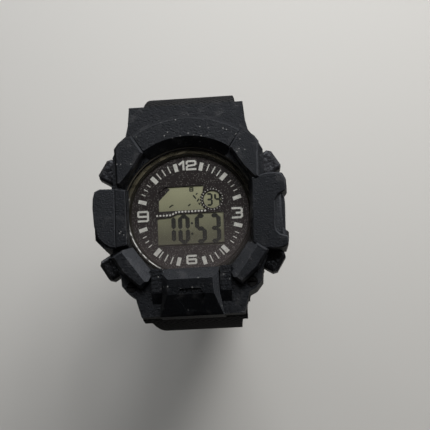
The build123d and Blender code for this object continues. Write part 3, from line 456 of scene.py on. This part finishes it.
def rimDustAndGlint(tree, under):
    # a broken pale line on the crystal's rim, thickest towards 8 o'clock: partly dust, partly a painted highlight where
    # the rim's edge catches the light
    f = crystalFinish
    vector = objectPattern(tree, (1, 0, 1))
    reach = vectorNode(tree, "LENGTH", vectorNode(tree, "SUBTRACT", vector, f["rimMiddle"]))
    inside = spread(tree, reach, 0.0, 1.0, *f["rimStart"])
    onRim = mathNode(tree, "MULTIPLY", inside, spread(tree, reach, 0.0, 1.0, *f["rimEnd"]))
    toward = vectorNode(tree, "DOT_PRODUCT", vectorNode(tree, "NORMALIZE", vector), f["dustAndGlintWay"])
    facing = spread(tree, toward, 0.0, 1.0, *f["dustAndGlintSpan"])
    broken = spread(tree, noiseFrom(tree, objectPattern(tree), f["rimGrain"]), *f["rimBroken"])
    share = mathNode(tree, "MULTIPLY", mathNode(tree, "MULTIPLY", onRim, facing), broken)
    return mixShaders(tree, share, under, diffuse(tree, f["rimDustAndGlint"]))


# Display glass, grey-green, with painted shade that makes it darker towards its lower edge

displayFinish = {
    # the second colour is the painted shade at the lower edge, also reached in random patches
    "colour": (0.35, 0.345, 0.240), "second": (0.110, 0.107, 0.076), "rough": (0.35, 0.35), "shine": 0.3,
    "top": 6.0 * mm, "bottom": -8.0 * mm, "patch": 250.0, "patchShare": 0.25,
}


def displayGlass():
    f = displayFinish
    mat, tree, shader = startMaterial("displayGlass", f)
    vector = objectPattern(tree)
    # painted shade: the glass darkens towards its lower edge
    paintedShadeDown = spread(tree, splitAxes(tree, vector)["Z"], 0.0, 1.0, f["top"], f["bottom"])
    uneven = mathNode(tree, "MULTIPLY", noiseFrom(tree, vector, f["patch"]), f["patchShare"])
    shade = mathNode(tree, "ADD", paintedShadeDown, uneven)
    tree.links.new(blendColours(tree, shade, f["colour"], f["second"]), shader.inputs["Base Color"])
    return mat


# Case back, turned in circles about its middle

backFinish = {
    "colour": (0.50, 0.50, 0.49), "second": (0.66, 0.66, 0.65), "rough": (0.24, 0.40), "metal": 1.0,
    "rings": 2600.0, "ringDetail": 5.0, "bump": 0.25, "relief": 0.00003,
}


def turnedSteel():
    f = backFinish
    mat, tree, shader = startMaterial("turnedSteel", f)
    join = tree.nodes.new("ShaderNodeCombineXYZ")
    tree.links.new(vectorNode(tree, "LENGTH", objectPattern(tree, (1, 0, 1))), join.inputs["X"])
    rings = noiseFrom(tree, join.outputs[0], f["rings"], f["ringDetail"])
    tree.links.new(blendColours(tree, rings, f["colour"], f["second"]), shader.inputs["Base Color"])
    tree.links.new(spread(tree, rings, *f["rough"]), shader.inputs["Roughness"])
    bumpFrom(tree, shader, rings, f["bump"], f["relief"])
    return mat


ownFinishes = {"crystal": clearCrystal, "lcd_glass": displayGlass, "case_back": turnedSteel}


def dressNodes(made):
    for nodeName, finishName in nodeFinishes.items():
        dress(nodeName, made[finishName])
    for nodeName, bend in strapBends.items():
        dress(nodeName, wovenStrap(nodeName + "Resin", bend))
    for nodeName, make in ownFinishes.items():
        dress(nodeName, make())
    bare = sorted(set(nodes) - set(nodeFinishes) - set(strapBends) - set(ownFinishes))
    print("Dressed the frame, nodes without a finish:", bare)


# Softer edges on moulded nodes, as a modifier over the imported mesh

edgeWidths = {
    "bezel": 0.22 * mm, "middle_case": 0.15 * mm, "upper_strap": 0.35 * mm, "lower_strap": 0.35 * mm,
    "keeper": 0.3 * mm, "buckle_frame": 0.35 * mm, "buckle_tongue": 0.2 * mm, "case_back": 0.12 * mm,
}
weldDistance = 0.000002    # metres
sharpAngle = 32    # degrees


def softEdges(piece, width):
    bevel = piece.modifiers.new("edges", "BEVEL")
    bevel.width = width
    bevel.segments = 2
    bevel.limit_method = "ANGLE"
    bevel.angle_limit = math.radians(sharpAngle)


def softenEdges():
    for nodeName, width in edgeWidths.items():
        piece = nodes[nodeName]
        weld = piece.modifiers.new("weld", "WELD")
        weld.merge_threshold = weldDistance
        softEdges(piece, width)
    print("Softened edges on", len(edgeWidths), "nodes")


# Flat printed pieces: bars and dots that are laid out, then raised by a film's thickness

printDepths = {"step": 0.003 * mm, "barSteps": 5, "dotSteps": 3}


def addBar(x, z, height, length, width, turn):
    # length runs along X before the turn, in degrees from X towards Z
    at = (x * mm, -height, z * mm)
    bpy.ops.mesh.primitive_plane_add(size=mm, location=at, rotation=(math.pi / 2, 0, 0))
    bpy.ops.transform.resize(value=(length, 1, width), center_override=at)
    bpy.ops.transform.rotate(value=math.radians(turn), orient_axis="Y", center_override=at)


def addDot(x, z, height, radius, sides=10):
    bpy.ops.mesh.primitive_circle_add(
        vertices=sides, radius=radius * mm, fill_type="NGON", location=(x * mm, -height, z * mm),
        rotation=(math.pi / 2, 0, 0))


def layPrint(name, height, film, bars, dots, cutEnds=0.0):
    # pieces that cross start at slightly different depths, so that no two faces share a plane
    step, barSteps, dotSteps = printDepths.values()
    bpy.ops.object.select_all(action="DESELECT")
    bpy.ops.object.add(type="MESH")
    sheet = bpy.context.object
    sheet.name = name
    bpy.ops.object.mode_set(mode="EDIT")
    for index, bar in enumerate(bars):
        addBar(bar[0], bar[1], height - step * (index % barSteps), *bar[2:])
        if cutEnds:
            bpy.ops.mesh.bevel(offset=min(bar[2], bar[3]) * cutEnds * mm, affect="VERTICES")
    for index, dot in enumerate(dots):
        addDot(dot[0], dot[1], height - step * (index % dotSteps + barSteps), dot[2])
    bpy.ops.mesh.select_all(action="SELECT")
    bpy.ops.mesh.extrude_region_move(TRANSFORM_OT_translate={"value": (0, -film, 0)})
    bpy.ops.mesh.select_all(action="SELECT")
    bpy.ops.mesh.normals_make_consistent(inside=False)
    bpy.ops.object.mode_set(mode="OBJECT")
    return sheet


# Plates over the bezel's side guards: outlines in millimetres, tilts in degrees about the first point

guardPlates = {
    "right_guard_plate": {
        "outline": [
            (16.7, 7.7), (20.2, 8.6), (22.8, 8.65), (24.4, 8.15), (25.25, 7.0), (25.4, 5.0), (25.3, 3.9), (24.9, 3.4),
            (24.1, 3.15), (23.2, 2.5), (22.5, 1.2), (22.2, -5.5), (22.5, -6.7), (23.3, -7.6), (24.5, -7.95),
            (25.2, -8.1), (25.4, -9.0), (25.2, -10.2), (24.6, -10.9), (23.4, -11.2), (21.5, -11.3), (19.2, -11.1),
            (17.5, -10.4), (16.2, -9.3),
        ],
        "foot": 10.95 * mm, "top": 13.60 * mm, "tilt": 3.2, "soften": 0.35 * mm,
    },
    "right_guard_wall": {
        "outline": [(21.8, 3.4), (24.2, 3.4), (24.8, 2.6), (24.95, 0.6), (24.7, -6.6), (24.2, -7.8), (21.8, -7.8)],
        "foot": 6.0 * mm, "top": 12.2 * mm, "tilt": 0.0, "soften": 0.2 * mm,
    },
    "left_guard_plate": {
        "outline": [
            (-19.1, 6.7), (-19.1, -8.9), (-20.6, -8.8), (-22.1, -7.8), (-23.6, -6.3), (-24.6, -3.1), (-24.95, 1.7),
            (-24.85, 4.3), (-24.4, 6.1), (-23.0, 6.8),
        ],
        "foot": 10.95 * mm, "top": 13.45 * mm, "tilt": -5.0, "soften": 0.25 * mm,
    },
    "left_guard_ledge": {
        "outline": [(-16.3, 6.2), (-19.1, 6.7), (-19.1, -8.9), (-16.1, -8.4)],
        "foot": 10.95 * mm, "top": 13.45 * mm, "tilt": 0.0, "soften": 0.2 * mm,
    },
}


def raiseOutline(name, part, mat):
    # an outline drawn point by point, filled, raised towards the front and tilted about its inner edge
    bpy.ops.object.select_all(action="DESELECT")
    points = [Vector((x * mm, -part["foot"], z * mm)) for x, z in part["outline"]]
    bpy.ops.object.add(type="MESH")
    piece = bpy.context.object
    piece.name = name
    bpy.ops.object.mode_set(mode="EDIT")
    bpy.ops.mesh.primitive_plane_add(size=mm, location=points[0])
    bpy.ops.mesh.merge(type="CENTER")
    for start, end in zip(points, points[1:]):
        bpy.ops.mesh.extrude_region_move(TRANSFORM_OT_translate={"value": end - start})
    bpy.ops.mesh.select_all(action="SELECT")
    bpy.ops.mesh.edge_face_add()
    bpy.ops.mesh.extrude_region_move(TRANSFORM_OT_translate={"value": (0, part["foot"] - part["top"], 0)})
    hinge = (points[0].x, -part["top"], 0)
    bpy.ops.transform.rotate(value=math.radians(part["tilt"]), orient_axis="Z", center_override=hinge)
    bpy.ops.mesh.select_all(action="SELECT")
    bpy.ops.mesh.normals_make_consistent(inside=False)
    bpy.ops.object.mode_set(mode="OBJECT")
    softEdges(piece, part["soften"])
    bpy.ops.object.modifier_apply(modifier="edges")
    piece.data.materials.append(mat)
    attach(piece, "head")
    print("Raised", name, "from", len(points), "points")


# The seven strokes of a plain digit: where each is, as shares of half the width and height, and how it lies

strokes = {
    "a": (0, 1, "across"), "b": (1, 0.5, "up"), "c": (1, -0.5, "up"), "d": (0, -1, "across"),
    "e": (-1, -0.5, "up"), "f": (-1, 0.5, "up"), "g": (0, 0, "across"),
}
digitStrokes = {"0": "abcdef", "1": "bc", "3": "abgcd", "4": "fgbc", "5": "afgcd"}


def digitBars(digit, x, z, width, height, stroke, gap):
    bars = []
    for key in digitStrokes[digit]:
        u, v, way = strokes[key]
        centre = (x + u * (width - stroke) / 2, z + v * (height - stroke) / 2)
        if way == "across":
            bars.append((*centre, width - 2 * gap, stroke, 0))
        else:
            bars.append((*centre, (height - stroke) / 2 + stroke - 2 * gap, stroke, 90))
    return bars


# Plain numerals as lines, in shares of half the width and height

numeralLines = {
    "1": [[(-1, 0.35), (1, 1), (1, -1)]],
    "2": [[(-1, 0.4), (-1, 0.75), (-0.7, 1), (0.7, 1), (1, 0.75), (1, 0.25), (0.7, 0.02), (-0.7, -0.12), (-1, -0.4),
           (-1, -1), (1, -1)]],
    "3": [[(-1, 1), (0.7, 1), (1, 0.75), (1, 0.25), (0.7, 0), (-0.15, 0)],
          [(0.7, 0), (1, -0.25), (1, -0.75), (0.7, -1), (-1, -1)]],
    "6": [[(1, 1), (-0.75, 1), (-1, 0.8), (-1, -0.8), (-0.75, -1), (0.8, -1), (1, -0.85), (1, -0.1), (0.85, 0.04),
           (-1, 0.04)]],
    "9": [[(-1, -1), (0.75, -1), (1, -0.8), (1, 0.8), (0.75, 1), (-0.8, 1), (-1, 0.85), (-1, 0.1), (-0.85, -0.04),
           (1, -0.04)]],
}


numeralOverlap = 0.7    # how far the lines reach into each other at a corner, as a share of the stroke


def numeralBars(digit, x, z, width, height, stroke):
    bars = []
    for line in numeralLines[digit]:
        points = [(x + u * (width - stroke) / 2, z + v * (height - stroke) / 2) for u, v in line]
        for a, b in zip(points, points[1:]):
            turn = math.degrees(math.atan2(b[1] - a[1], b[0] - a[0]))
            bars.append(((a[0] + b[0]) / 2, (a[1] + b[1]) / 2, math.dist(a, b) + stroke * numeralOverlap, stroke, turn))
    return bars


# Dial print in millimetres and degrees: numbers, bars by the numbers, blocks and thin ticks

roundWindow = (6.0, 3.6)

dialPrint = {
    "film": 0.03 * mm,
    "numbers": [
        ("1", -1.85, 13.1, 1.6, 2.75), ("2", 0.75, 13.1, 2.85, 2.75), ("3", 12.35, -0.45, 3.0, 3.0),
        ("9", -12.4, -0.1, 3.1, 3.0), ("6", 0.0, -12.2, 2.8, 2.5),
    ],
    "stroke": 0.52,
    "barTurns": (75, 105, 16.5, -16.5, 163.5, 196.5, 255, 285),
    "barReach": 13.0, "barSize": (2.2, 1.0),
    "blockTurns": (46, 134, 228, 312), "blockReach": 13.2, "blockSize": (2.2, 1.1),
    "tickTurns": (53, 60, 67), "tickReach": 13.2, "tickSize": (2.0, 0.30),
    "sideTurns": (25, 31, 37), "sideReach": 13.4, "sideSize": (1.1, 0.24),
    "dividerDots": 16, "dividerRadius": 0.27,
    "divider": [(-8.7, -0.15), (-5.0, -0.15), (-3.5, 0.62), (4.0, 0.62)],
    "toothCount": 22, "toothReach": 2.75, "toothRadius": 0.13,
}


def radialBars(turns, reach, size, middle=(0, 0)):
    return [
        (middle[0] + reach * math.cos(math.radians(t)), middle[1] + reach * math.sin(math.radians(t)), *size, t)
        for t in turns
    ]


def ringOfDots(middle, count, reach, radius):
    turns = [math.tau * index / count for index in range(count)]
    return [(middle[0] + reach * math.cos(t), middle[1] + reach * math.sin(t), radius) for t in turns]


def dotsAlong(points, count, rounding=0.001):
    runs = [math.dist(a, b) for a, b in zip(points, points[1:])]
    dots = []
    for index in range(count):
        left = sum(runs) * index / (count - 1)
        for run, a, b in zip(runs, points, points[1:]):
            if left <= run + rounding:
                share = min(left / run, 1)
                dots.append((a[0] + (b[0] - a[0]) * share, a[1] + (b[1] - a[1]) * share))
                break
            left -= run
    return dots


def printDial(mat):
    p = dialPrint
    face = -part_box("dial_plate")[0].y
    bars = []
    for digit, x, z, width, height in p["numbers"]:
        bars += numeralBars(digit, x, z, width, height, p["stroke"])
    bars += radialBars(p["barTurns"], p["barReach"], p["barSize"])
    bars += radialBars(p["blockTurns"], p["blockReach"], p["blockSize"])
    for sign in (1, -1):
        turns = [90 + sign * (90 - t) for t in p["tickTurns"]] + [270 + sign * (90 - t) for t in p["tickTurns"]]
        bars += radialBars(turns, p["tickReach"], p["tickSize"])
    for start, way in ((0, 1), (180, -1), (180, 1), (360, -1)):
        bars += radialBars([start + way * t for t in p["sideTurns"]], p["sideReach"], p["sideSize"])
    dots = [(x, z, p["dividerRadius"]) for x, z in dotsAlong(p["divider"], p["dividerDots"])]
    dots += ringOfDots(roundWindow, p["toothCount"], p["toothReach"], p["toothRadius"])
    marks = layPrint("dial_marks", face, p["film"], bars, dots)
    marks.data.materials.append(mat)
    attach(marks, "head")
    print("Printed the dial:", len(bars), "bars,", len(dots), "dots")


# Display segments in millimetres

display = {
    "film": 0.02 * mm,
    "time": [
        ("1", -5.4, -3.9, 3.0, 7.7), ("0", -1.75, -4.0, 3.1, 7.9), ("5", 2.65, -4.05, 3.1, 7.9),
        ("3", 6.4, -4.1, 3.1, 7.9),
    ],
    "timeStroke": 1.15, "timeGap": 0.66,
    "seconds": [("3", 5.2, 3.6, 1.75, 3.5), ("4", 7.35, 3.6, 1.75, 3.5)],
    "secondsStroke": 0.52, "secondsGap": 0.30,
    "colon": [(0.35, -2.5, 0.33), (0.35, -5.3, 0.33)],
    "flags": [
        (0.55, 7.05, 1.1, 0.30, 0), (0.55, 6.15, 1.1, 0.30, 0), (0.12, 6.6, 1.1, 0.28, 90), (0.95, 6.6, 1.1, 0.28, 90),
        (0.55, 6.6, 0.7, 0.22, 0), (-5.1, 2.3, 1.0, 0.36, 35), (-4.6, 2.6, 0.6, 0.30, -20),
        (-0.15, 2.4, 0.9, 0.36, 40), (1.3, 4.5, 1.3, 0.40, 125), (2.2, 3.6, 1.0, 0.40, 60), (1.9, 5.3, 0.7, 0.34, 35),
        (2.5, 2.6, 0.7, 0.34, 110),
    ],
    "cutEnds": 0.40,
}


# Dark print on the display glass: the corner of the upper window and the toothed ring round the seconds

maskPrint = {
    "film": 0.02 * mm,
    "corner": [(-7.95, 5.75, 5.4, 2.4, 45)],
    "ringTeeth": 26, "ringReach": 2.85, "toothSize": (1.0, 0.5),
    "ringDots": 44, "ringDotReach": 2.62, "ringDotRadius": 0.28,
}


def maskDisplay(mat):
    p = maskPrint
    face = -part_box("lcd_glass")[0].y
    turns = [360 * index / p["ringTeeth"] for index in range(p["ringTeeth"])]
    bars = p["corner"] + radialBars(turns, p["ringReach"], p["toothSize"], roundWindow)
    dots = ringOfDots(roundWindow, p["ringDots"], p["ringDotReach"], p["ringDotRadius"])
    mask = layPrint("display_mask", face, p["film"], bars, dots)
    mask.data.materials.append(mat)
    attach(mask, "head")
    print("Display mask:", len(bars), "bars,", len(dots), "dots")


def showDisplay(mat):
    p = display
    face = -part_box("lcd_glass")[0].y
    bars = list(p["flags"])
    for digit, x, z, width, height in p["time"]:
        bars += digitBars(digit, x, z, width, height, p["timeStroke"], p["timeGap"])
    for digit, x, z, width, height in p["seconds"]:
        bars += digitBars(digit, x, z, width, height, p["secondsStroke"], p["secondsGap"])
    segments = layPrint("display_segments", face, p["film"], bars, p["colon"], p["cutEnds"])
    segments.data.materials.append(mat)
    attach(segments, "head")
    print("Display segments:", len(bars))


addCamera()
addStudio()
addRoom()
addLamps()
print("Studio ready")
madeFinishes = {name: plainFinish(name, finish) for name, finish in finishes.items()}
dressNodes(madeFinishes)
softenEdges()
for plateName, plate in guardPlates.items():
    raiseOutline(plateName, plate, madeFinishes["bezelResin"])
printDial(madeFinishes["printWhite"])
maskDisplay(madeFinishes["dialPaint"])
showDisplay(madeFinishes["inkBlack"])
